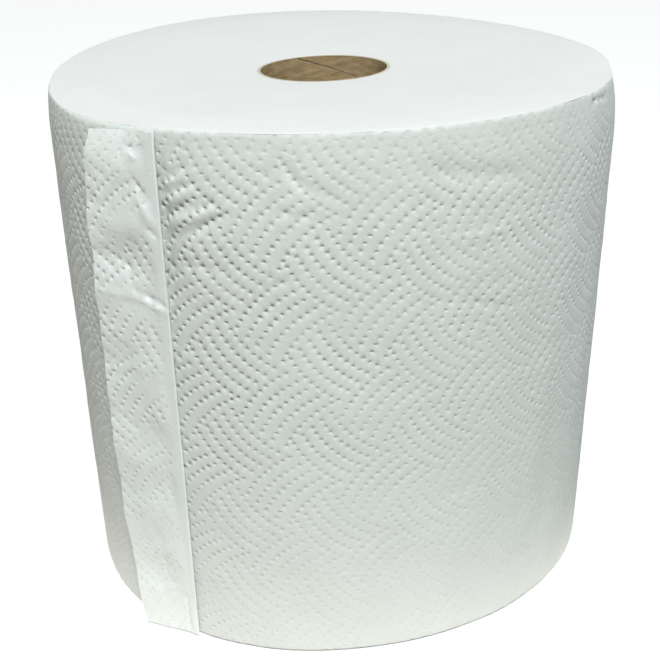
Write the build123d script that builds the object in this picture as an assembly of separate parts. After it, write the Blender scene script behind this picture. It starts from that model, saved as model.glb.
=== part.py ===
from build123d import *

import os
from math import cos, radians, sin, sqrt

os.makedirs("parts", exist_ok=True)

# A roll of embossed paper towel, standing on its cut end. Sizes are in millimetres, angles in
# degrees counted from +X. The origin is the centre of the core in the base plane, +Z is up along
# the roll's axis, and the web's loose end is folded back on the -Y side.

# Wound paper: all the turns of one web
roll_diameter = 203.0     # mean diameter, over the embossing
web_width = 190.0         # width of the web, which is the height of the roll
oval_rise = 1.1           # how far the soft roll bulges at both ends of its long direction
oval_direction = 111.0
lobe_rise = 2.9           # how far it bulges in three rounded lobes
lobe_direction = 105.0
top_rim_round = 3.0       # outer turns are rolled over at the upper rim
base_rim_round = 1.5      # and a little at the rim it stands on
dish_depth = 3.4          # the upper end face falls this far from its outer ring to the core
outer_ring_width = 14.0   # flat ring between the wall and the dish
outline_points = 24       # points of the spline that runs round the wall

# Dent in the upper rim
dent_direction = 328.0
dent_radius = 20.0
dent_depth = 3.4          # below the corner that the rim would have with no rounding

# Loose end: the last stretch of the web, folded back flat on itself
sheet_thickness = 0.6     # two embossed plies
fold_direction = 240.45   # where on the wall the fold stands
fold_bead_radius = 0.9    # the two layers swell to this at the fold
flap_width = 28.6         # from the fold to the cut edge
flap_lift = 2.0           # the flap leans this far out of the tangent plane at the fold
flap_top_setback = 2.0    # the flap stops this far under the top of the roll
flap_corner_width = 3.6   # what the cut edge loses towards each corner ...
flap_corner_height = 28.0 # ... over this height

# Core: a tube of spiral-wound kraft board
core_bore = 44.0
core_wall = 1.1
seam_lead = 45.0          # the seam of the inner ply climbs this far in one turn
seam_start_direction = 127.0  # where the seam meets the upper end of the tube
seam_width = 0.4
seam_depth = 0.25

# What follows from those sizes
core_outer_radius = core_bore / 2 + core_wall
core_length = web_width - dish_depth


def wall_radius(direction):
    """Radius of the paper wall in a direction, with the roll's bulges."""
    oval = oval_rise * cos(2 * radians(direction - oval_direction))
    lobes = lobe_rise * cos(3 * radians(direction - lobe_direction))
    return roll_diameter / 2 + oval + lobes


def wall_point(direction, z=0.0):
    """Point on the paper wall in a direction, at a height."""
    radius = wall_radius(direction)
    return Vector(radius * cos(radians(direction)), radius * sin(radians(direction)), z)


def wound_turns():
    """All the turns as one ring of paper, with rounded rims."""
    step = 360.0 / outline_points
    outline = Spline(*[wall_point(step * i) for i in range(outline_points)], periodic=True)
    turns = extrude(make_face(outline), amount=web_width)
    turns = fillet(turns.faces().sort_by(Axis.Z)[-1].edges(), top_rim_round)
    turns = fillet(turns.faces().sort_by(Axis.Z)[0].edges(), base_rim_round)
    core_hole = extrude(Circle(core_outer_radius), amount=web_width)
    return turns - core_hole


def dish():
    """The shallow cone that the upper end face falls into, as a body to take away."""
    dish_radius = roll_diameter / 2 - outer_ring_width
    floor = web_width - dish_depth
    profile = Polyline(
        (0, 0, floor),
        (core_outer_radius, 0, floor),
        (dish_radius, 0, web_width),
        (dish_radius, 0, web_width + dish_depth),
        (0, 0, web_width + dish_depth),
        close=True,
    )
    return revolve(make_face(profile), Axis.Z)


def rim_dent():
    """A ball that presses into the upper rim from above and outside, as a body to take away."""
    reach = (dent_radius - dent_depth) / sqrt(2)
    corner = wall_point(dent_direction, web_width)
    outward = Vector(cos(radians(dent_direction)), sin(radians(dent_direction)), 0)
    return Pos(corner + outward * reach + Vector(0, 0, reach)) * Sphere(dent_radius)


def folded_end():
    """The fold's bead on the wall, and the flat flap of web that stands off from it."""
    outward = Vector(cos(radians(fold_direction)), sin(radians(fold_direction)), 0)
    foot = wall_point(fold_direction) + outward * sheet_thickness / 2
    bead_height = web_width - top_rim_round - base_rim_round
    bead = Pos(foot + Vector(0, 0, base_rim_round)) * extrude(Circle(fold_bead_radius), bead_height)
    flap_height = web_width - flap_top_setback
    corner_edge = flap_width - flap_corner_width
    outline = Polyline(
        (0, 0),
        (corner_edge, 0),
        (flap_width, flap_corner_height),
        (flap_width, flap_height - flap_corner_height),
        (corner_edge, flap_height),
        (0, flap_height),
        close=True,
    )
    # The fold's own plane touches the wall: X runs back along the web, Y up, and Z into the roll.
    fold_plane = Plane(origin=foot, x_dir=outward.rotate(Axis.Z, -90), z_dir=-outward)
    flap = extrude(make_face(outline), amount=sheet_thickness / 2, both=True)
    return bead + fold_plane * Rot(0, flap_lift, 0) * flap


def paper_roll():
    """The wound turns with their dished end, dented rim and folded loose end, in one piece."""
    return wound_turns() - dish() - rim_dent() + folded_end()


def core_tube():
    """The board tube, with the open seam of its inner ply running up the bore."""
    tube = extrude(Circle(core_outer_radius) - Circle(core_bore / 2), amount=core_length)
    seam_direction = seam_start_direction - 360.0 * core_length / seam_lead
    path = Rot(0, 0, seam_direction) * Helix(seam_lead, core_length, core_bore / 2)
    section = Plane(origin=path @ 0, x_dir=(0, 0, 1), z_dir=path % 0)
    groove = sweep(section * Rectangle(seam_width, 2 * seam_depth), path, is_frenet=True)
    return tube - groove


def write(part, name):
    """Write one piece to its own file."""
    part.label = name
    export_step(part, "parts/" + name + ".step")
    print(name, "solids", len(part.solids()), "volume", round(part.volume))


write(paper_roll(), "paper_roll")
write(core_tube(), "core_tube")
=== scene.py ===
import math
import bpy
import numpy as np
from mathutils import Euler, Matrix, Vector, geometry


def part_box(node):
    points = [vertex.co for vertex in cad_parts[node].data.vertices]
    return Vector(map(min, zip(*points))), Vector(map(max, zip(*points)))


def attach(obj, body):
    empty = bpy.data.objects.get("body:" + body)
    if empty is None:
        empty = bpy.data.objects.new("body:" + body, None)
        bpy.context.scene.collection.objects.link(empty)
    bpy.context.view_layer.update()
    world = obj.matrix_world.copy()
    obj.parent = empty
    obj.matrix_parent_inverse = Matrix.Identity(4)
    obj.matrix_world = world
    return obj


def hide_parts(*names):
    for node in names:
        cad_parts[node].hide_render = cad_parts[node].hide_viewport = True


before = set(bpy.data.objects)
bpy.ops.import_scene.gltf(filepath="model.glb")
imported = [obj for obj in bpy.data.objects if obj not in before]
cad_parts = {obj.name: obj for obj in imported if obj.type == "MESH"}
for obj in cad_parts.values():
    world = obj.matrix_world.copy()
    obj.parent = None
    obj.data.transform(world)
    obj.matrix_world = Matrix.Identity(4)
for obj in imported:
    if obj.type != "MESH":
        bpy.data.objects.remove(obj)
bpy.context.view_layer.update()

# Core tube: a board tube that the towel is wound on, and that a dispenser's spindle goes through.
# It is wound from two strips of brown kraft board, glued one over the other in a helix. The edges
# of the inner strip don't quite meet, and leave an open seam that climbs up the bore.
MM = 0.001
CORE_BOARD = 1.1 * MM
CORE_PLY = CORE_BOARD / 2
SEAM_LEAD = 45.0 * MM
SEAM_GAP = 0.5 * MM
SEAM_AT_TOP = 121.0       # degrees from +X where the inner seam meets the upper end
STEPS_PER_TURN = 96
CORE_SQUEEZE = 0.068      # share of its radius by which the soft core is out of round
CORE_LONG_AXIS = math.radians(21)
CORE_ASIDE = 1.1 * MM     # how far the core's upper end has been pushed to the left
BOARD_SMOOTH_ANGLE = math.radians(35)

KRAFT_DARK, KRAFT_LIGHT = (0.275, 0.195, 0.10), (0.468, 0.354, 0.194)
KRAFT_CUT_EDGE = (0.56, 0.52, 0.42)
FIBRE_STRETCH = 3.5       # the board's fibres run round the tube

core_low, core_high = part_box("core_tube")
core_radius = core_high[0]


def cut_level(height, drop_above):
    """Cuts the mesh being edited with a level plane, takes one side away and caps the cut."""
    bpy.ops.mesh.select_all(action="SELECT")
    bpy.ops.mesh.bisect(
        plane_co=(0, 0, height), plane_no=(0, 0, 1), use_fill=True,
        clear_outer=drop_above, clear_inner=not drop_above,
    )


def board_strip(name, inner_radius, seam_at_top):
    """Winds one strip of board in a helix and trims it to the length of the tube."""
    bpy.ops.object.select_all(action="DESELECT")
    turns = math.ceil((core_high[2] - core_low[2]) / SEAM_LEAD) + 1
    lowest = core_high[2] - SEAM_LEAD * (seam_at_top / 360 + turns - 1)
    bpy.ops.mesh.primitive_plane_add(
        size=1, rotation=(math.pi / 2, 0, 0),
        location=(inner_radius + CORE_PLY / 2, 0, lowest + SEAM_LEAD / 2),
    )
    strip = bpy.context.object
    strip.name = name
    strip.scale = (CORE_PLY, SEAM_LEAD - SEAM_GAP, 1)
    bpy.ops.object.transform_apply(location=True, rotation=True, scale=True)
    bpy.ops.object.mode_set(mode="EDIT")
    bpy.ops.mesh.delete(type="ONLY_FACE")
    bpy.ops.object.mode_set(mode="OBJECT")
    helix = strip.modifiers.new("helix", "SCREW")
    helix.steps = helix.render_steps = STEPS_PER_TURN
    helix.screw_offset = SEAM_LEAD
    helix.iterations = turns
    helix.use_merge_vertices = False
    bpy.ops.object.modifier_apply(modifier=helix.name)
    bpy.ops.object.mode_set(mode="EDIT")
    cut_level(core_low[2], drop_above=False)
    cut_level(core_high[2], drop_above=True)
    bpy.ops.mesh.select_all(action="SELECT")
    bpy.ops.mesh.normals_make_consistent(inside=False)
    bpy.ops.object.mode_set(mode="OBJECT")
    return strip


def pick(*pieces):
    """Selects these pieces and nothing else, and makes the last of them active."""
    bpy.ops.object.select_all(action="DESELECT")
    for piece in pieces:
        piece.select_set(True)
    bpy.context.view_layer.objects.active = pieces[-1]


def read_points(piece):
    """The mesh's points as an array of rows."""
    points = np.empty(len(piece.data.vertices) * 3)
    piece.data.vertices.foreach_get("co", points)
    return points.reshape(-1, 3)


def write_points(piece, points):
    """Puts the mesh's points where the rows of an array say."""
    piece.data.vertices.foreach_set("co", points.ravel())
    piece.data.update()


def core_oval(direction):
    """How the soft core is squeezed: its radius in a direction as a share of the round one."""
    return 1 + CORE_SQUEEZE * np.cos(2 * (direction - CORE_LONG_AXIS))


core_board = board_strip("core_board", core_radius - CORE_BOARD, SEAM_AT_TOP)
outer_strip = board_strip("outer_strip", core_radius - CORE_PLY, SEAM_AT_TOP + 180)
pick(outer_strip, core_board)
bpy.ops.object.join()

points = read_points(core_board)
points[:, :2] *= core_oval(np.arctan2(points[:, 1], points[:, 0]))[:, None]
points[:, 0] -= CORE_ASIDE * points[:, 2] / core_high[2]
write_points(core_board, points)
bpy.ops.object.shade_smooth_by_angle(angle=BOARD_SMOOTH_ANGLE)


def node_maker(tree):
    """A maker of nodes in a tree, which sets a node's inputs and its own settings by name."""
    def add(kind, **settings):
        node = tree.nodes.new(kind)
        for key, value in settings.items():
            if key in node.inputs:
                node.inputs[key].default_value = value
            else:
                setattr(node, key, value)
        return node

    return add


def new_material(name):
    """A material, its Principled shader, and the makers of its further nodes and links."""
    material = bpy.data.materials.new(name)
    material.use_nodes = True
    tree = material.node_tree
    return material, tree.nodes["Principled BSDF"], node_maker(tree), tree.links.new


def set_tones(ramp, *tones):
    """Sets both ends of a colour ramp, each by its position and its colour."""
    for end, (position, colour) in zip(ramp.color_ramp.elements, tones):
        end.position = position
        end.color = (*colour, 1)


kraft, kraft_shader, add, link = new_material("kraft_board")
kraft_shader.inputs["Roughness"].default_value = 0.85
kraft_shader.inputs["Specular IOR Level"].default_value = 0.25
place = add("ShaderNodeTexCoord")
along_fibres = add("ShaderNodeMapping", Scale=(1, 1, FIBRE_STRETCH))
link(place.outputs["Object"], along_fibres.inputs["Vector"])
mottle = add("ShaderNodeTexNoise", Scale=180.0, Detail=6.0, Roughness=0.62)
link(along_fibres.outputs["Vector"], mottle.inputs["Vector"])
tone = add("ShaderNodeValToRGB")
set_tones(tone, (0.34, KRAFT_DARK), (0.68, KRAFT_LIGHT))
link(mottle.outputs["Fac"], tone.inputs["Fac"])
link(tone.outputs["Color"], kraft_shader.inputs["Base Color"])
fibre = add("ShaderNodeTexNoise", Scale=2600.0, Detail=3.0)
link(along_fibres.outputs["Vector"], fibre.inputs["Vector"])
fibre_bump = add("ShaderNodeBump", Strength=0.35, Distance=0.1 * MM)
link(fibre.outputs["Fac"], fibre_bump.inputs["Height"])
link(fibre_bump.outputs["Normal"], kraft_shader.inputs["Normal"])
cut_board, cut_shader, _, _ = new_material("kraft_board_cut_edge")
cut_shader.inputs["Base Color"].default_value = (*KRAFT_CUT_EDGE, 1)
cut_shader.inputs["Roughness"].default_value = 0.9
core_board.data.materials.clear()
core_board.data.materials.append(kraft)
core_board.data.materials.append(cut_board)
for face in core_board.data.polygons:
    face.material_index = int(abs(face.normal.z) > 0.9)
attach(core_board, "root")
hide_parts("core_tube")

# Wound turns: some four hundred turns of thin two-ply towel, wound tight on the core. The roll is
# sawn off a longer log, so its ends are the cut edges of all the turns, with the saw's straight
# streaks across them. The upper end has sunk a little towards the core.
ROLL_DIAMETER = 203.0 * MM
OVAL_RISE, OVAL_DIRECTION = 1.1 * MM, math.radians(111)
LOBE_RISE, LOBE_DIRECTION = 2.9 * MM, math.radians(105)
FOLD_DIRECTION = math.radians(240.45)    # where on the wall the web's loose end is folded back
DISH_RADIUS = ROLL_DIAMETER / 2 - 14.0 * MM
WEB_THICKNESS = 0.5 * MM
TURN_LEVEL = 0.9                         # share of its way round where it lies on the outline
STEP_FADE = 5.0 * MM                     # its climb fades out this near the upper rim
UNDER_OUTER_TURN = 1.6 * MM              # how far the turns stay inside the outer one
UNDER_RIM = 0.03 * MM                    # and how far at the rim, where they meet it

# Sizes in mm that hold at one direction, with that direction and their spread in degrees
RIM_ROUND, RIM_ROUND_MORE = 0.5, (1.2, 228, 14)
RIM_SLIPPED, RIM_KNOCKED_DOWN = (1.9, 214, 21), (1.3, 345, 9)
DENTED_WIDELY, DENTED_SHARPLY = (0.3, 350, 45), (1.4, 347, 9)

# Where the fold pulls the wall in beside it, in mm: closely, and more widely below the rim
DIP_LEVELS, DIP_CLOSE, DIP_CLOSE_SPREAD = (90, 140, 180, 186), (0.15, 0.6, 0.6, 0), 2.4
DIP_LEVEL, DIP_WIDE, DIP_WIDE_SPREAD = 158, 1.5, 6
DIP_ABOVE, DIP_BELOW = 13, 26

# How the wall leans in below the upper rim: from what height, over what height, and how far in mm
LEAN_START, LEAN_OVER = 158.0 * MM, 32.0 * MM
LEAN_SOFT, LEAN_SHARP = 1.2, 0.8

# The turned section: its rings along the ends, its rounded upper rim and its side
END_RINGS, BASE_RINGS = 58, 12
END_RINGS_STOP = 6.0 * MM                # the last of them stands this far inside the wall
SECTION_ROUND = 4.0 * MM
SIDE_DROPS = (8.0, 13.0, 18.0, 24.0, 30.0, 37.0, 46.0)    # in mm below the top
BASE_CORNER = ((0.0, 2.0), (0.3, 0.7), (1.2, 0.0))        # in mm: inside the wall, and up
TURN_SEGMENTS = 288
SECTION_MERGE = 0.02 * MM

# The outer turns slip down with the rim from this share of the way to the wall, over this share
SLIP_FROM, SLIP_OVER = 0.78, 0.18

# Unevenness of the sawn end: steps from turn to turn, and a soft swell, with its number of waves,
# the shortest and the longest. Heights are in mm, and fade out at the core and at the rim.
STEP_COUNT, STEP_HEIGHT = 90, 0.05
SWELL_WAVES, SWELL_HEIGHT = (12, 30 * MM, 90 * MM), 0.1
FADE_AT_CORE, FADE_AT_RIM = 12, 20

_, roll_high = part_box("paper_roll")
roll_top = roll_high[2]
roll_radius = ROLL_DIAMETER / 2


def wall_radius(direction):
    """Radius of the soft roll's wall in a direction given in radians from +X."""
    oval = OVAL_RISE * np.cos(2 * (direction - OVAL_DIRECTION))
    lobes = LOBE_RISE * np.cos(3 * (direction - LOBE_DIRECTION))
    return roll_radius + oval + lobes


def turn_rise(share, up):
    """How far the outer turn has climbed over the turn below it, at a share of its way round."""
    return (share - TURN_LEVEL) * WEB_THICKNESS * np.clip((roll_top - up) / STEP_FADE, 0, 1)


def away_from(middle, direction):
    """The angle between a middle direction and another, from -pi to pi."""
    return np.mod(direction - middle + math.pi, 2 * math.pi) - math.pi


def fold_dip(direction, up):
    """How far the wall is pulled in beside the fold, most of all some way below the rim."""
    from_fold = away_from(FOLD_DIRECTION, direction) * roll_radius / MM
    level = up / MM
    close = np.interp(level, DIP_LEVELS, DIP_CLOSE) * np.exp(-(from_fold / DIP_CLOSE_SPREAD) ** 2)
    fade = (level - DIP_LEVEL) / np.where(level > DIP_LEVEL, DIP_ABOVE, DIP_BELOW)
    wide = DIP_WIDE * np.exp(-(from_fold / DIP_WIDE_SPREAD) ** 2 - fade ** 2)
    return (close + wide) * MM


def local(direction, size, middle, spread):
    """A size at a middle direction, falling to 0 over a spread to either side, in degrees."""
    away = away_from(math.radians(middle), direction)
    return size * np.exp(-(away / math.radians(spread)) ** 2)


def rim_round(direction):
    """How widely the outer turns roll over at the upper rim: most at the near left."""
    return (RIM_ROUND + local(direction, *RIM_ROUND_MORE)) * MM


def rim_height(direction):
    """Height of the upper rim, which has slipped at the left and is knocked down at the right."""
    drop = local(direction, *RIM_SLIPPED) + local(direction, *RIM_KNOCKED_DOWN)
    return roll_top - drop * MM


def lean(direction, up):
    """How far the wall leans in below the upper rim: most at the right, where it is dented."""
    share = np.clip((up - LEAN_START) / LEAN_OVER, 0, 1)
    all_round = LEAN_SOFT * share ** 2 + LEAN_SHARP * share ** 7
    dented = local(direction, *DENTED_WIDELY) * share ** 2
    dented += local(direction, *DENTED_SHARPLY) * share ** 8
    return (all_round + dented) * MM


def waves(along, up, count, shortest, longest, seed):
    """A smooth random unevenness between about -1 and 1, as a sum of plane waves."""
    chance = np.random.default_rng(seed)
    total = np.zeros_like(along)
    for _ in range(count):
        length = chance.uniform(shortest, longest)
        heading = chance.uniform(0, math.pi)
        phase = chance.uniform(0, 2 * math.pi)
        run = along * math.cos(heading) + up * math.sin(heading)
        total += np.sin(2 * math.pi * run / length + phase)
    return total / math.sqrt(count)


def end_face_rings(height_at_core, height_at_wall, count):
    """Radii and heights of the rings of one end face, from the core outwards."""
    radii = np.linspace(core_radius, roll_radius - END_RINGS_STOP, count)
    rise = np.clip((radii - core_radius) / (DISH_RADIUS - core_radius), 0, 1)
    heights = height_at_core + (height_at_wall - height_at_core) * rise
    return list(zip(radii, heights))


def rim_rings():
    """Radii and heights of the rings round the upper rim, from the end face to the wall."""
    rings = []
    for turned in range(0, 91, 15):
        inset = SECTION_ROUND * (1 - math.sin(math.radians(turned)))
        drop = SECTION_ROUND * (1 - math.cos(math.radians(turned)))
        rings.append((roll_radius - inset, roll_top - drop))
    return rings


section = end_face_rings(core_high[2], roll_top, END_RINGS) + rim_rings()
section += [(roll_radius, roll_top - drop * MM) for drop in SIDE_DROPS]
section += [(roll_radius - inset * MM, up * MM) for inset, up in BASE_CORNER]
section += end_face_rings(0.0, 0.0, BASE_RINGS)[::-1]
corners = range(len(section))
outline = bpy.data.meshes.new("wound_turns")
outline.from_pydata(
    [(across, 0, up) for across, up in section], [(i, (i + 1) % len(section)) for i in corners], []
)
wound_turns = bpy.data.objects.new("wound_turns", outline)
bpy.context.scene.collection.objects.link(wound_turns)
pick(wound_turns)
bpy.ops.object.mode_set(mode="EDIT")
bpy.ops.mesh.select_all(action="SELECT")
bpy.ops.mesh.spin(steps=TURN_SEGMENTS, angle=2 * math.pi, center=(0, 0, 0), axis=(0, 0, 1))
bpy.ops.mesh.select_all(action="SELECT")
bpy.ops.mesh.remove_doubles(threshold=SECTION_MERGE)
bpy.ops.mesh.normals_make_consistent(inside=False)
bpy.ops.object.mode_set(mode="OBJECT")

# The turned section is round, and now takes the roll's own form. First its rim is drawn in to the
# rounding that the rim has in each direction.
points = read_points(wound_turns)
direction = np.arctan2(points[:, 1], points[:, 0])
radius = np.hypot(points[:, 0], points[:, 1])
from_wall, from_top = roll_radius - radius, roll_top - points[:, 2]
upper = points[:, 2] > roll_top / 2
at_rim = upper & (np.maximum(from_wall, from_top) < SECTION_ROUND + 0.1 * MM)
shrink = np.where(at_rim, rim_round(direction) / SECTION_ROUND, 1)
from_wall, from_top = from_wall * shrink, from_top * shrink

# Then its outer turns sink with the rim
outwards = (roll_radius - from_wall - core_radius) / (roll_radius - core_radius)
sunk = np.clip((outwards - SLIP_FROM) / SLIP_OVER, 0, 1) ** 2
slip = (roll_top - rim_height(direction)) * sunk + UNDER_RIM
off_core = np.clip(outwards * FADE_AT_CORE, 0, 1)
points[:, 2] = np.where(upper, roll_top - from_top - slip * off_core, points[:, 2])

# Then it is stretched between the oval core and the wall's outline
under_rim = np.interp(from_top, (0.2 * MM, 1.2 * MM), (UNDER_RIM, UNDER_OUTER_TURN))
under = np.where(upper, under_rim, UNDER_OUTER_TURN)
share_round = np.mod(direction - FOLD_DIRECTION, 2 * math.pi) / (2 * math.pi)
wall = wall_radius(direction) + turn_rise(share_round, points[:, 2]) - under
wall -= lean(direction, points[:, 2]) + fold_dip(direction, points[:, 2])
bore = core_radius * core_oval(direction)
fitted = bore + outwards * (wall - bore)
aside = CORE_ASIDE * (1 - outwards) ** 2 * points[:, 2] / core_high[2]
points[:, 0] = fitted * np.cos(direction) - aside
points[:, 1] = fitted * np.sin(direction)

# Last, its upper end gets the small steps between turns
step_radii = np.linspace(core_radius, roll_radius, STEP_COUNT)
steps = np.interp(radius, step_radii, np.random.default_rng(4).uniform(-1, 1, STEP_COUNT))
swell = waves(points[:, 0], points[:, 1], *SWELL_WAVES, seed=5)
off_both = off_core * np.clip((1 - outwards) * FADE_AT_RIM, 0, 1)
uneven = off_both * (steps * STEP_HEIGHT + swell * SWELL_HEIGHT) * MM
points[:, 2] += np.where(upper, uneven, 0)
write_points(wound_turns, points)
bpy.ops.object.shade_smooth_by_angle(angle=math.radians(40))

WEB_TONES = (0.70, 0.742, 0.712), (0.725, 0.765, 0.737)
CUT_EDGE_TONES = (0.748, 0.752, 0.739), (0.767, 0.770, 0.757)
PIT_SHADE_TONE = 0.72                              # how bright the deepest dimples are painted, as a share: painted shade
STREAK_ANGLE, STREAK_STRETCH = math.radians(-8), 40    # which way the saw went


def towel_material(name, tones):
    """White tissue: matt, a little uneven in tone, with a fine crepe and a fuzz of fibres. Its
    colour is painted darker in the dimples, the more the deeper they are: painted shade."""
    material, shader, add, link = new_material(name)
    shader.inputs["Roughness"].default_value = 0.95
    shader.inputs["Specular IOR Level"].default_value = 0.12
    place = add("ShaderNodeTexCoord")
    cloud = add("ShaderNodeTexNoise", Scale=60.0, Detail=5.0, Roughness=0.6)
    link(place.outputs["Object"], cloud.inputs["Vector"])
    tone = add("ShaderNodeValToRGB")
    set_tones(tone, (0.35, tones[0]), (0.65, tones[1]))
    link(cloud.outputs["Fac"], tone.inputs["Fac"])
    # Painted shade: the base colour is darkened by how deep each point lies in a dimple
    pit_shade = add("ShaderNodeAttribute", attribute_name="pit_shade")
    darker = add("ShaderNodeMapRange", **{"To Min": 1.0, "To Max": PIT_SHADE_TONE})
    link(pit_shade.outputs["Fac"], darker.inputs["Value"])
    pit_shaded = add("ShaderNodeHueSaturation")
    link(darker.outputs["Result"], pit_shaded.inputs["Value"])
    link(tone.outputs["Color"], pit_shaded.inputs["Color"])
    link(pit_shaded.outputs["Color"], shader.inputs["Base Color"])
    crepe = add("ShaderNodeTexNoise", Scale=900.0, Detail=6.0, Roughness=0.72)
    link(place.outputs["Object"], crepe.inputs["Vector"])
    crepe_bump = add("ShaderNodeBump", Strength=0.7, Distance=0.25 * MM)
    link(crepe.outputs["Fac"], crepe_bump.inputs["Height"])
    link(crepe_bump.outputs["Normal"], shader.inputs["Normal"])
    return material, crepe_bump, add, link


cut_edges, edge_bump, add, link = towel_material("towel_paper_cut_edges", CUT_EDGE_TONES)
place = add("ShaderNodeTexCoord")
across_streaks = add(
    "ShaderNodeMapping", Rotation=(0, 0, STREAK_ANGLE), Scale=(1, STREAK_STRETCH, 1)
)
link(place.outputs["Object"], across_streaks.inputs["Vector"])
streaks = add("ShaderNodeTexNoise", Scale=9.0, Detail=4.0, Roughness=0.7)
link(across_streaks.outputs["Vector"], streaks.inputs["Vector"])
streak_bump = add("ShaderNodeBump", Strength=0.5, Distance=0.2 * MM)
link(streaks.outputs["Fac"], streak_bump.inputs["Height"])
link(streak_bump.outputs["Normal"], edge_bump.inputs["Normal"])
wound_turns.data.materials.append(cut_edges)
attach(wound_turns, "root")
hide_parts("paper_roll")

# Outer turn: the last turn of the web, with the dimples that press its two plies together. The
# embossing roller repeats a bundle of five bowed rows of dimples and its mirror image, so that
# they cross like a woven mat. The paper puffs up a little between the rows.
REPEAT_ALONG, REPEAT_UP = 32.35, 30.9      # the roller's repeat, in mm
ROW_BEND = 36.0                            # radius that each row is bowed to, in mm
DIMPLES_EACH_SIDE = 4                      # of the middle one of a row

# For each bundle: its middle in the repeat, whether its rows climb to the right, the slope at
# their middle in degrees, the step between dimples, and where each row stands from the middle one
BUNDLES = (
    (
        (-0.6, 147.45), False, 45.0, 2.64,
        ((6.3, 5.4), (3.1, 2.8), (0, 0), (-3.1, -2.85), (-6.1, -6.0)),
    ),
    (
        (15.3, 132.35), True, 46.5, 2.74,
        ((-6.2, 5.8), (-3.0, 2.8), (0, 0), (3.4, -2.9), (7.85, -5.0)),
    ),
)
repeat_along, repeat_up = BUNDLES[0][0]    # where the repeat begins
REPEATS_AROUND = [(i, j) for i in (-1, 0, 1) for j in (-1, 0, 1)]

# Rings of a dimple: share of its size, points and height in mm. Its half sizes are in mm too.
DIMPLE_RINGS = ((0.0, 1, -0.72), (0.42, 6, -0.68), (0.84, 7, -0.1), (1.1, 7, 0.0))
DIMPLE_WIDTH, DIMPLE_HEIGHT = 0.95, 0.68

# Points between the rows, in mm: how high they puff up, how far apart they are, how far they stray
# from an even spacing, and how far they keep from the middle of a dimple
PUFF, PUFF_SPACING, PUFF_STRAY, PUFF_CLEAR = 0.05, 1.5, 0.3, 1.35
PUFF_FROM, PUFF_OVER = 0.9, 1.2            # it starts this far from a dimple, and takes this long

WEB_MARGIN = 3.0                           # cut off all round a sheet, in mm
CUT_MERGE = 1e-7


def dimple_middles():
    """The middles of the dimples of one repeat, in mm."""
    middles = []
    for (along, up), climbs, slope, step, rows in BUNDLES:
        slope = math.radians(slope)
        for row_along, row_up in rows:
            for number in range(-DIMPLES_EACH_SIDE, DIMPLES_EACH_SIDE + 1):
                turned = slope - number * step / ROW_BEND
                across = ROW_BEND * (math.sin(slope) - math.sin(turned))
                rise = ROW_BEND * (math.cos(turned) - math.cos(slope))
                rise = rise if climbs else -rise
                middles.append((along + row_along + across, up + row_up + rise))
    return np.array(middles)


def dimple_points(middles, chance):
    """Points (along, up, height) on the rings of every dimple, in mm, each dimple turned anew."""
    points = []
    for along, up in middles:
        for size, count, height in DIMPLE_RINGS:
            offset = chance.uniform(0, math.pi)
            for k in range(count):
                angle = offset + 2 * math.pi * k / count
                aside = DIMPLE_WIDTH * size * math.cos(angle)
                above = DIMPLE_HEIGHT * size * math.sin(angle)
                points.append((along + aside, up + above, height))
    return points


def puff_points(middles, chance):
    """Points (along, up, height) of the paper between the dimples, in mm."""
    neighbours = np.array([(REPEAT_ALONG * i, REPEAT_UP * j) for i, j in REPEATS_AROUND])
    all_middles = (middles[:, None] + neighbours[None]).reshape(-1, 2)
    columns, levels = round(REPEAT_ALONG / PUFF_SPACING), round(REPEAT_UP / PUFF_SPACING)
    points = []
    for i in range(columns):
        for j in range(levels):
            along = repeat_along + (i + 0.5 * (j % 2)) * REPEAT_ALONG / columns
            along += chance.uniform(-PUFF_STRAY, PUFF_STRAY)
            up = repeat_up + j * REPEAT_UP / levels
            up += chance.uniform(-PUFF_STRAY, PUFF_STRAY)
            gap = np.min(np.hypot(*(all_middles - np.array((along, up))).T))
            if gap > PUFF_CLEAR:
                points.append((along, up, PUFF * min(1.0, (gap - PUFF_FROM) / PUFF_OVER)))
    return points


def embossed_repeat():
    """Points (along, up, height) of one repeat in mm, and its triangles. Each corner of a triangle
    is a point's number and how many repeats along and up its copy stands."""
    middles = dimple_middles()
    chance = np.random.default_rng(7)
    points = np.array(dimple_points(middles, chance) + puff_points(middles, chance))
    count = len(points)
    flat = [
        Vector((along + REPEAT_ALONG * i, up + REPEAT_UP * j))
        for i, j in REPEATS_AROUND for along, up, _ in points
    ]
    _, _, faces, originals, _, _ = geometry.delaunay_2d_cdt(flat, [], [], 0, CUT_MERGE)
    triangles = []
    for face in faces:
        numbers = [originals[corner][0] for corner in face]
        corners = [(number % count, *REPEATS_AROUND[number // count]) for number in numbers]
        if min(corners)[1:] == (0, 0):
            triangles.append(corners)
    return points, np.array(triangles)


def new_sheet(name, points, triangles):
    """A mesh object from rows of points and triangles."""
    mesh = bpy.data.meshes.new(name)
    mesh.vertices.add(len(points))
    mesh.vertices.foreach_set("co", points.ravel())
    mesh.loops.add(triangles.size)
    mesh.loops.foreach_set("vertex_index", triangles.ravel().astype(np.int32))
    mesh.polygons.add(len(triangles))
    mesh.polygons.foreach_set("loop_start", np.arange(0, triangles.size, 3, dtype=np.int32))
    mesh.update(calc_edges=True)
    sheet = bpy.data.objects.new(name, mesh)
    bpy.context.scene.collection.objects.link(sheet)
    return sheet


repeat_points, repeat_triangles = embossed_repeat()


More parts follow.
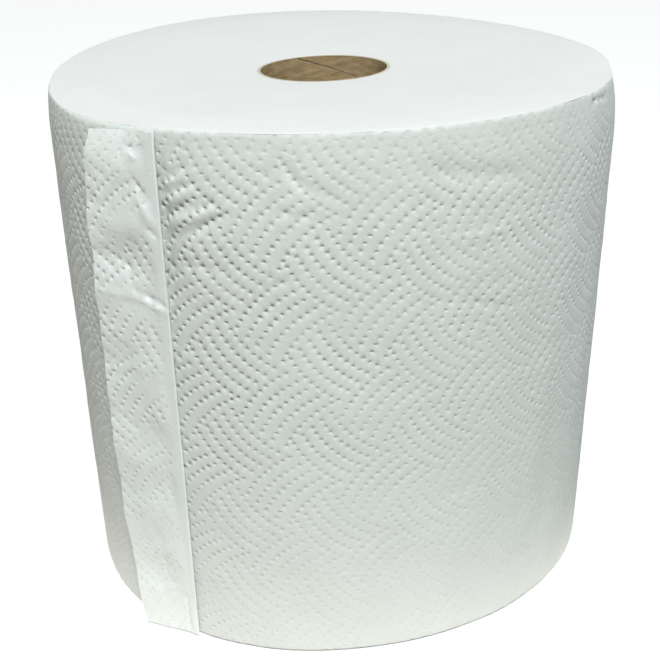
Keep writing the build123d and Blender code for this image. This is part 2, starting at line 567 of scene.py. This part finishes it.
def flat_web(name, along_from, along_to, up_from, up_to, folds=()):
    """A flat embossed web as a mesh object in the XY plane, in metres: X along, Y up the roll. It
    gets an upright line of edges at each of the folds."""
    first = math.floor((along_from - WEB_MARGIN) / REPEAT_ALONG) - 1
    last = math.ceil((along_to + WEB_MARGIN) / REPEAT_ALONG) + 1
    low = math.floor((up_from - WEB_MARGIN - repeat_up) / REPEAT_UP) - 1
    high = math.ceil((up_to + WEB_MARGIN - repeat_up) / REPEAT_UP) + 1
    columns, levels = last - first + 1, high - low + 1
    column, level = np.meshgrid(np.arange(columns), np.arange(levels), indexing="ij")
    shift = np.stack([(column + first) * REPEAT_ALONG, (level + low) * REPEAT_UP, 0 * column], -1)
    points = (repeat_points[None] + shift.reshape(-1, 1, 3)).reshape(-1, 3)

    # Every repeat's triangles, where the repeats that their corners stand in are there
    number, columns_on, levels_on = np.moveaxis(repeat_triangles[None], -1, 0)
    at_column = column.reshape(-1, 1, 1) + columns_on
    at_level = level.reshape(-1, 1, 1) + levels_on
    there = (at_column >= 0) & (at_column < columns) & (at_level >= 0) & (at_level < levels)
    corners = (at_column * levels + at_level) * len(repeat_points) + number
    triangles = corners[there.all(-1)]
    wanted = (points[:, 0] > along_from - WEB_MARGIN) & (points[:, 0] < along_to + WEB_MARGIN)
    wanted &= (points[:, 1] > up_from - WEB_MARGIN) & (points[:, 1] < up_to + WEB_MARGIN)
    triangles = triangles[wanted[triangles].all(-1)]
    used, triangles = np.unique(triangles, return_inverse=True)
    web = new_sheet(name, points[used] * MM, triangles.reshape(-1, 3))

    # Trimmed on its four sides, and marked at its folds
    low_corner, high_corner = (along_from * MM, up_from * MM, 0), (along_to * MM, up_to * MM, 0)
    cuts = [
        (low_corner, (-1, 0, 0), True), (high_corner, (1, 0, 0), True),
        (low_corner, (0, -1, 0), True), (high_corner, (0, 1, 0), True),
    ]
    cuts += [((fold * MM, 0, 0), (1, 0, 0), False) for fold in folds]
    pick(web)
    bpy.ops.object.mode_set(mode="EDIT")
    for spot, outwards, trims in cuts:
        bpy.ops.mesh.select_all(action="SELECT")
        bpy.ops.mesh.bisect(
            plane_co=spot, plane_no=outwards, clear_outer=trims, threshold=CUT_MERGE
        )
    bpy.ops.mesh.select_all(action="SELECT")
    bpy.ops.mesh.quads_convert_to_tris()
    bpy.ops.object.mode_set(mode="OBJECT")
    return web


DARKEST_SHADE_DEPTH = 0.6 * MM     # depth of a dimple at which its painted shade is darkest


def mark_pit_shade(sheet, embossing):
    """Keeps, for each point of the sheet, how much painted shade it gets: more the deeper it lies
    in a dimple.
    """
    pit_shade = sheet.data.attributes.new("pit_shade", "FLOAT", "POINT")
    pit_shade.data.foreach_set("value", np.clip(-embossing / DARKEST_SHADE_DEPTH, 0, 1))


def creases(along, up, listed):
    """Height of the listed creases at a place on the web, all in metres."""
    total = np.zeros_like(along)
    for start_along, start_up, end_along, end_up, half_width, height in listed:
        length = math.hypot(end_along - start_along, end_up - start_up)
        way_along, way_up = (end_along - start_along) / length, (end_up - start_up) / length
        from_start, above = along / MM - start_along, up / MM - start_up
        run = from_start * way_along + above * way_up
        across = above * way_along - from_start * way_up
        beyond = np.clip(np.abs(run - length / 2) - length / 2 + 2 * half_width, 0, None)
        fade = np.exp(-(beyond / (3 * half_width)) ** 2 - (across / half_width) ** 2)
        total += height * MM * fade
    return total


WEB_LOW, WEB_HIGH = 0.3, 191.2           # edges of the outer turn's sheet, in mm
START_UNDER_FOLD = 4.5                   # it starts this far before the fold, in mm
STOP_SHORT = 0.2                         # and stops this far before it has come right round
SET_IN = 0.1 * MM                        # its middle stands this far inside the wall
RIM_TURN = 1.5                           # how far round the upper rim it turns, in radians
SETTLE_OVER = 0.8                        # it lies flat at the end of the last part of that turn
TUCKED_EDGE = 0.06 * MM                  # its edge sinks this far among the turns
TUCK_FROM, TUCK_OVER = 0.85, 0.15        # from this share of the turn, over this share
BASE_ROUND, BASE_TURN = 1.4 * MM, 1.1    # how widely and how far it turns in at the base
BASE_CLEAR = 0.05 * MM                   # its lower edge stays this far off the floor
OUTLINE_PAST_FOLD = 0.06                 # the outline is measured this far on, in radians
OUTLINE_STEPS = 4001

# The embossing is weaker near the sheet's edges: the least share of it, and how far it fades
EDGE_LEAST, EDGE_FADE_TOP, EDGE_FADE_BASE = 0.15, 2.2 * MM, 1.2 * MM

# How deep the dimples are, as a share: at some heights, and at some places along the web, in mm
DEPTH_UP = (12, 55, 95, 165, 180, 188), (0.35, 0.65, 1.0, 1.0, 0.6, 0.3)
DEPTH_ALONG = (-50, -10, 60, 110, 160), (0.9, 0.55, 0.35, 0.36, 0.65)

# Soft unevenness of the sheet: how many waves, the shortest and the longest, and height in mm
DEPTH_WAVES, DEPTH_VARIES = (10, 12 * MM, 40 * MM), 0.22
BROAD_WAVES, BROAD_HEIGHT = (14, 22 * MM, 70 * MM), 0.16
FINE_WAVES, FINE_HEIGHT = (14, 7 * MM, 16 * MM), 0.04

# Creases of the outer turn: from where (along, up) to where, half width and height, all in mm. A
# positive height stands out. Most of them fan out from the fold, which pulls at the turn below it.
CREASES = (
    (-51.8, 174.5, -43.2, 179.2, 1.3, -0.45), (-51.3, 172.6, -42.8, 176.5, 1.2, 0.40),
    (-52.3, 170.2, -42.4, 173.8, 1.2, -0.45), (-51.9, 167.4, -41.2, 172.2, 1.2, 0.40),
    (-52.4, 162.9, -44.0, 166.5, 1.4, -0.50), (-45.1, 166.1, -34.5, 169.0, 1.3, -0.45),
    (-49.8, 160.5, -41.9, 164.1, 1.5, 0.50), (-42.7, 163.6, -34.0, 167.1, 1.5, 0.50),
    (-48.1, 156.2, -38.9, 161.2, 1.5, -0.45), (-40.3, 160.4, -31.1, 165.0, 1.4, -0.40),
    (-13.2, 181.8, -9.4, 175.9, 1.5, -0.40), (-10.0, 176.5, 0.7, 170.8, 1.6, -0.40),
    (-20.8, 178.7, -12.7, 178.9, 1.3, -0.20), (-13.8, 166.8, -6.0, 165.3, 1.3, -0.35),
    (-14.2, 169.3, -8.5, 167.4, 1.3, 0.20), (-16.9, 161.9, -9.5, 165.3, 1.6, 0.25),
    (-52.0, 146.1, -43.3, 148.5, 1.4, -0.35), (-44.0, 148.4, -32.3, 147.4, 1.4, -0.30),
    (-17.4, 143.7, -10.4, 146.7, 1.5, -0.25), (31.5, 176.9, 60.7, 171.3, 3.0, -0.50),
    (42.1, 154.9, 57.2, 155.3, 1.8, 0.28), (42.0, 156.5, 54.8, 157.1, 1.6, -0.15),
    (45.2, 132.7, 57.6, 128.5, 1.5, -0.35), (98.3, 187.0, 110.5, 185.9, 0.6, -0.90),
)

# Arc length along the wall, counted from -Y towards +X, against direction
sweep = np.linspace(
    FOLD_DIRECTION - OUTLINE_PAST_FOLD, FOLD_DIRECTION + 2 * math.pi + OUTLINE_PAST_FOLD,
    OUTLINE_STEPS,
)
outline_x, outline_y = wall_radius(sweep) * np.cos(sweep), wall_radius(sweep) * np.sin(sweep)
arc = np.concatenate([[0], np.cumsum(np.hypot(np.diff(outline_x), np.diff(outline_y)))])
arc -= np.interp(1.5 * math.pi, sweep, arc)
fold_arc = float(np.interp(FOLD_DIRECTION, sweep, arc))
full_arc = float(np.interp(FOLD_DIRECTION + 2 * math.pi, sweep, arc))

outer_turn = flat_web(
    "outer_turn", fold_arc / MM - START_UNDER_FOLD, full_arc / MM - STOP_SHORT, WEB_LOW, WEB_HIGH
)
points = read_points(outer_turn)
along, up, relief = points.T
direction = np.interp(along, arc, sweep)
part_of_turn = (along - fold_arc) / (full_arc - fold_arc)

# How far each place of the sheet stands out: the embossing, which is weak at both edges, the
# creases, and a soft unevenness
depth = 1 + DEPTH_VARIES * waves(along, up, *DEPTH_WAVES, seed=11)
depth *= np.interp(up / MM, *DEPTH_UP)
depth *= np.interp(along / MM, *DEPTH_ALONG)
near_edge = np.clip((WEB_HIGH * MM - up) / EDGE_FADE_TOP, EDGE_LEAST, 1)
near_edge *= np.clip((up - WEB_LOW * MM) / EDGE_FADE_BASE, EDGE_LEAST, 1)
embossing = relief * depth * near_edge
height = embossing - SET_IN
height += creases(along, up, CREASES)
height += waves(along, up, *BROAD_WAVES, seed=12) * BROAD_HEIGHT * MM
height += waves(along, up, *FINE_WAVES, seed=13) * FINE_HEIGHT * MM

# How the sheet turns over at both rims: it rolls over the upper one, and tucks in its edge
rim = rim_round(direction)
rim_start = rim_height(direction) - rim
over = np.clip((up - rim_start) / (WEB_HIGH * MM - rim_start), 0, 1) * RIM_TURN
under = np.clip((BASE_ROUND - up) / BASE_ROUND, 0, 1) * BASE_TURN
inset = rim * (1 - np.cos(over)) + BASE_ROUND * (1 - np.cos(under))
base_lift = BASE_ROUND * (1 - np.sin(under) / math.sin(BASE_TURN)) + BASE_CLEAR
lift = np.where(over > 0, rim_start + rim * np.sin(over), up)
lift = np.where(under > 0, base_lift, lift)
lift -= TUCKED_EDGE * np.clip((over / RIM_TURN - TUCK_FROM) / TUCK_OVER, 0, 1)
height *= np.clip((RIM_TURN - over) / SETTLE_OVER, 0, 1)

radius = wall_radius(direction) + turn_rise(part_of_turn, lift)
radius = radius - lean(direction, lift) - fold_dip(direction, lift)
reach = radius - inset + height * np.cos(over)
points[:, 0] = reach * np.cos(direction)
points[:, 1] = reach * np.sin(direction)
points[:, 2] = lift + height * np.sin(over)
write_points(outer_turn, points)

# The turn is one sheet, kept as four panels that share its normals where they meet
PANELS = (
    ("outer_turn_front", -1, 0.25), ("outer_turn_right", 0.25, 0.5),
    ("outer_turn_back", 0.5, 0.75), ("outer_turn_left", 0.75, 2),
)
web_paper, _, _, _ = towel_material("towel_paper", WEB_TONES)
normals = np.empty(len(points) * 3)
outer_turn.data.vertices.foreach_get("normal", normals)
normals = normals.reshape(-1, 3)
triangles = np.empty(len(outer_turn.data.polygons) * 3, dtype=np.int32)
outer_turn.data.loops.foreach_get("vertex_index", triangles)
triangles = triangles.reshape(-1, 3)
share_of_turn = part_of_turn[triangles].mean(1)
for name, start, end in PANELS:
    chosen = (share_of_turn >= start) & (share_of_turn < end)
    used, own = np.unique(triangles[chosen], return_inverse=True)
    panel = new_sheet(name, points[used], own.reshape(-1, 3))
    panel.data.polygons.foreach_set("use_smooth", np.ones(len(panel.data.polygons), dtype=bool))
    panel.data.normals_split_custom_set_from_vertices(normals[used].tolist())
    panel.data.materials.append(web_paper)
    mark_pit_shade(panel, embossing[used])
    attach(panel, "root")
    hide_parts("paper_roll")
bpy.data.objects.remove(outer_turn)

# Folded end: the last stretch of the web, folded back flat on itself at a sharp upright fold. It
# shows the web's other side, where the dimples are fainter, and it is crumpled from handling. It
# only hangs from its fold, so its cut edge stands off the wall.
FLAP_WIDTH = 28.6                 # in mm, like the sizes below that have no unit
FLAP_LOW, FLAP_TOP = 0.6, 188.8
FLAP_TOP_SLOPE = 1.8              # its top falls this far towards the cut edge
FOLD_ROUND, FOLD_STEPS = 0.42, 8
FOLD_STANDS_OFF, FOLD_RIGHTWARD = 0.2, 0.3
TUCKED_UNDER = 5.0                # the web runs on this far under the fold
FLAP_THICKNESS = 0.35 * MM
FLAP_DIMPLE_SHARE = 0.5
# The flap's paper is the web's paper painted lighter: painted light
FLAP_PAINTED_LIGHT_TONES = (0.81, 0.86, 0.84), (0.845, 0.89, 0.87)

# Width of the flap at some heights, in mm: its lower corner curls away from the wall
FLAP_EDGE_UP = (0, 8, 18, 28, 49, 69, 88, 105, 120, 135, 147, 158, 170, 181, 187)
FLAP_EDGE_WIDTH = (
    20.6, 22.2, 24.3, 25.9, 27.6, 27.9, 28.3, 28.2, 27.8, 27.6, 27.5, 28.0, 26.9, 26.1, 24.3,
)
EDGE_STANDS_OFF = 0.6 * MM
CORNER_STANDS_OFF, CORNER_HEIGHT = 2.4 * MM, 34 * MM
FLAT_FROM, FLAT_OVER = 2.5 * MM, 3 * MM    # it lies smooth next to the fold

# Its top bends in by this much more than the wall, from one height on and over another. The fold
# is stiff and takes a share of the bend, and the flap takes all of it from this far on.
TOP_BENT, BENT_FROM, BENT_OVER = 0.8 * MM, 177, 12
FOLD_FOLLOWS, BENT_FULLY_AT = 0.25, 14 * MM

# Its embossing and its crumples, in the same terms as the outer turn's
FLAP_DEPTH_LEAST, FLAP_DEPTH_MOST = 0.05, 1.2
FLAP_DEPTH_UP = (10, 60, 100, 165, 186), (0.3, 0.6, 1.0, 0.9, 0.3)
FLAP_DEPTH, FLAP_DEPTH_WAVES, FLAP_DEPTH_VARIES = 0.75, (10, 14 * MM, 34 * MM), 0.6
CRUMPLE_WAVES, CRUMPLE_HEIGHT = (12, 14 * MM, 40 * MM), 0.35
WRINKLE_WAVES, WRINKLE_HEIGHT = (14, 5 * MM, 12 * MM), 0.06
FLAP_CREASES = (
    (-11.5, 183.3, -6.6, 184.1, 0.8, -0.50), (-11.2, 182.7, -7.8, 180.7, 0.7, 0.40),
    (-6.9, 184.2, -3.2, 187.3, 0.8, 0.30), (-7.7, 172.8, -4.5, 168.3, 0.7, -0.60),
    (-6.1, 167.1, -2.4, 160.7, 1.6, 0.50), (-4.8, 159.0, -1.0, 156.5, 0.9, -0.30),
    (-26.4, 148.0, -13.0, 146.4, 3.5, -0.50), (-15.4, 145.9, -13.6, 141.9, 0.9, -0.60),
    (-13.8, 140.1, -11.9, 136.7, 0.8, -0.40), (-10.0, 136.1, -1.2, 133.8, 0.8, -0.60),
    (-11.3, 134.8, -2.2, 131.9, 1.2, 0.40), (-27.6, 135.0, -13.7, 134.6, 1.2, 0.30),
    (-27.7, 105.5, -14.1, 109.2, 1.0, 0.35), (-4.2, 17.5, -3.9, 1.6, 0.7, -0.50),
    (-21.1, 16.8, -6.6, 20.7, 1.0, 0.30), (-12.1, 40.7, -13.1, 26.3, 0.4, -0.30),
    (-26.4, 169.1, -22.3, 167.5, 0.9, 0.30),
)

fold_turn = math.pi * FOLD_ROUND
fold_lines = [fold_turn * k / FOLD_STEPS for k in range(FOLD_STEPS + 1)]
folded_end = flat_web(
    "folded_end", -FLAP_WIDTH, fold_turn + TUCKED_UNDER, FLAP_LOW, FLAP_TOP, fold_lines
)
points = read_points(folded_end)
along, up, relief = points.T
from_fold = np.clip(-along, 0, None)
turned = np.clip(along / (FOLD_ROUND * MM), 0, math.pi)
tucked = np.clip(along - fold_turn * MM, 0, None)
across = from_fold / (FLAP_WIDTH * MM)
flat_share = np.clip((from_fold - FLAT_FROM) / FLAT_OVER, 0, 1)

# How far each place of the flap stands off: it hangs out at its cut edge, most at the lower
# corner, it is crumpled and faintly embossed, and it follows the wall's lean near the top
low_share = np.clip((CORNER_HEIGHT - up) / CORNER_HEIGHT, 0, 1)
stand = EDGE_STANDS_OFF * across + CORNER_STANDS_OFF * across ** 1.5 * low_share ** 1.6
stand += waves(along, up, *CRUMPLE_WAVES, seed=21) * CRUMPLE_HEIGHT * MM * flat_share
stand += waves(along, up, *WRINKLE_WAVES, seed=22) * WRINKLE_HEIGHT * MM * flat_share
depth = FLAP_DEPTH + FLAP_DEPTH_VARIES * waves(along, up, *FLAP_DEPTH_WAVES, seed=23)
depth = np.clip(depth, FLAP_DEPTH_LEAST, FLAP_DEPTH_MOST) * np.interp(up / MM, *FLAP_DEPTH_UP)
embossing = relief * depth * flat_share
stand += embossing * FLAP_DIMPLE_SHARE + creases(along, up, FLAP_CREASES)
bent_in = lean(FOLD_DIRECTION, up)
bent_in += TOP_BENT * np.clip((up / MM - BENT_FROM) / BENT_OVER, 0, 1) ** 2
free_share = np.clip(from_fold / BENT_FULLY_AT, 0, 1)
stand -= bent_in * (FOLD_FOLLOWS + (1 - FOLD_FOLLOWS) * free_share)
# The flap's dimples get the same painted shade
mark_pit_shade(folded_end, embossing)

# The flap runs back along the wall's own plane at the fold, and its tucked part runs forward
outward = np.array((math.cos(FOLD_DIRECTION), math.sin(FOLD_DIRECTION), 0))
leftward = np.array((math.sin(FOLD_DIRECTION), -math.cos(FOLD_DIRECTION), 0))
fold_radius = wall_radius(FOLD_DIRECTION) + (FOLD_STANDS_OFF + 2 * FOLD_ROUND) * MM
fold_line = outward * fold_radius - leftward * FOLD_RIGHTWARD * MM
width_share = np.interp(up / MM, FLAP_EDGE_UP, FLAP_EDGE_WIDTH) / FLAP_WIDTH
back = from_fold * width_share - FOLD_ROUND * MM * np.sin(turned) + tucked
out = stand - FOLD_ROUND * MM * (1 - np.cos(turned))
points = fold_line + leftward * back[:, None] + outward * out[:, None]
points[:, 2] = up - FLAP_TOP_SLOPE * MM * across * (up / (FLAP_TOP * MM)) ** 6
write_points(folded_end, points)
pick(folded_end)
shell = folded_end.modifiers.new("thickness", "SOLIDIFY")
shell.thickness = FLAP_THICKNESS
shell.offset = -1
bpy.ops.object.modifier_apply(modifier=shell.name)
bpy.ops.object.shade_smooth_by_angle(angle=math.radians(60))
# Painted light: the flap gets a lighter copy of the web paper
flap_paper_painted_light, _, _, _ = towel_material("towel_paper_flap_painted_light", FLAP_PAINTED_LIGHT_TONES)
folded_end.data.materials.append(flap_paper_painted_light)
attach(folded_end, "root")
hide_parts("paper_roll")

# Studio: the roll stands on a plain white floor that curves up out of sight. One soft lamp stands
# high in front and to the right, and even light comes from all round. A faint round glow lies
# under the roll, as light that comes back off the floor.
FLOOR_RADIUS = 3.0
FLOOR_CURVE = ((1.12, 0.05), (1.1, 0.18), (1.07, 0.35), (1.02, 0.6), (1.0, 2.0))

bpy.context.scene.view_settings.view_transform = "Standard"
bpy.ops.object.select_all(action="DESELECT")
bpy.ops.mesh.primitive_circle_add(vertices=96, radius=FLOOR_RADIUS, fill_type="NGON")
floor = bpy.context.object
floor.name = "floor"
bpy.ops.object.mode_set(mode="EDIT")
bpy.ops.mesh.select_mode(type="EDGE")
bpy.ops.mesh.select_all(action="SELECT")
bpy.ops.mesh.region_to_loop()
for widen, rise in FLOOR_CURVE:
    bpy.ops.mesh.extrude_edges_move(TRANSFORM_OT_translate={"value": (0, 0, rise)})
    bpy.ops.transform.resize(value=(widen, widen, 1), center_override=(0, 0, 0))
bpy.ops.mesh.select_all(action="SELECT")
bpy.ops.mesh.normals_make_consistent(inside=True)
bpy.ops.object.mode_set(mode="OBJECT")
bpy.ops.object.shade_smooth_by_angle(angle=math.radians(60))
white_floor, floor_shader, _, _ = new_material("white_floor")
floor_shader.inputs["Base Color"].default_value = (0.4, 0.4, 0.4, 1)
floor_shader.inputs["Roughness"].default_value = 0.9
floor_shader.inputs["Emission Color"].default_value = (1, 1, 1, 1)
floor_shader.inputs["Emission Strength"].default_value = 0.72
floor.data.materials.append(white_floor)
floor.visible_diffuse = False
floor.visible_shadow = False


def lamp(name, place, aim, size, power, colour):
    """A soft lamp at a place, turned towards what it lights."""
    light = bpy.data.lights.new(name, "AREA")
    light.energy = power
    light.size = size
    light.color = colour
    stand = bpy.data.objects.new(name, light)
    stand.location = place
    stand.rotation_euler = (Vector(aim) - Vector(place)).to_track_quat("-Z", "Y").to_euler()
    stand.visible_camera = False
    bpy.context.scene.collection.objects.link(stand)
    return light


lamp(
    "key_lamp", place=(0.1, -0.92, 1.45), aim=(0, 0, 0.1),
    size=0.4, power=24.5, colour=(0.98, 1.0, 0.995),
)
glow = lamp(
    "floor_glow", place=(-0.01, -0.045, 0.001), aim=(-0.01, -0.045, 1),
    size=0.26, power=0.155, colour=(1.0, 0.95, 0.87),
)
glow.shape = "DISK"

# The even light is cooler from above and warmer from below
COOL_SIDE = (0.5, 0, 0.866)
WARM_LIGHT, COOL_LIGHT = (1.0, 0.85, 0.66), (0.93, 1.0, 1.03)

even_light = bpy.data.worlds.new("even_light")
even_light.use_nodes = True
background = even_light.node_tree.nodes["Background"]
background.inputs["Strength"].default_value = 0.30
add, link = node_maker(even_light.node_tree), even_light.node_tree.links.new
heading = add("ShaderNodeTexCoord")
towards = add("ShaderNodeVectorMath", operation="DOT_PRODUCT")
towards.inputs[1].default_value = COOL_SIDE
upright = add("ShaderNodeMapRange", **{"From Min": -1.0})
tone = add("ShaderNodeValToRGB")
set_tones(tone, (0.0, WARM_LIGHT), (0.6, COOL_LIGHT))
link(heading.outputs["Generated"], towards.inputs[0])
link(towards.outputs["Value"], upright.inputs["Value"])
link(upright.outputs["Result"], tone.inputs["Fac"])
link(tone.outputs["Color"], background.inputs["Color"])
bpy.context.scene.world = even_light

camera_data = bpy.data.cameras.new("camera")
camera_data.sensor_width = 36.0
camera_data.lens = 57.24
camera = bpy.data.objects.new("camera", camera_data)
camera.location = (0, -0.3863, 0.2712)
camera.rotation_euler = Euler([math.radians(angle) for angle in (63.6086, 1.0101, -0.3883)])
bpy.context.scene.collection.objects.link(camera)
bpy.context.scene.camera = camera
